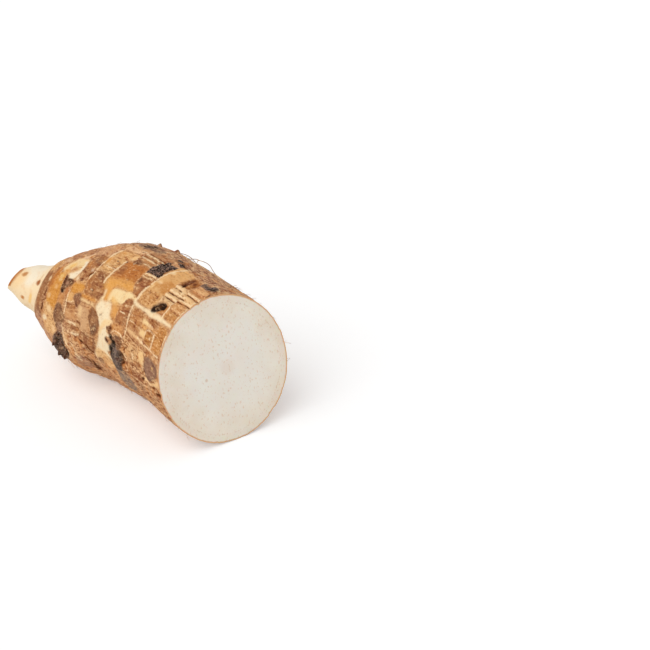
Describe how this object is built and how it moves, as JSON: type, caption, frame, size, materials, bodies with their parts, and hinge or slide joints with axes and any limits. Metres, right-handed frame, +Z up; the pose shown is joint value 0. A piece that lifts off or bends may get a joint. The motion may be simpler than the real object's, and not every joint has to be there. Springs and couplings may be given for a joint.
{
  "type": "cut arrowroot tuber",
  "caption": "Half of a starchy tuber, cut straight across, with ringed flaky brown skin, bud scars and a peeled tapering stub.",
  "frame": {"origin": "bottom centre of the body's box, on the surface that the belly rests on", "axes": "+Z up as it lies, +X from the peeled stub to the cut face, which is the longest extent"},
  "size_m": [0.1533, 0.0818, 0.0697],
  "materials": {
    "skin": "matte"
  },
  "bodies": {
    "root": {"tuber": "skin"}
  },
  "joints": []
}
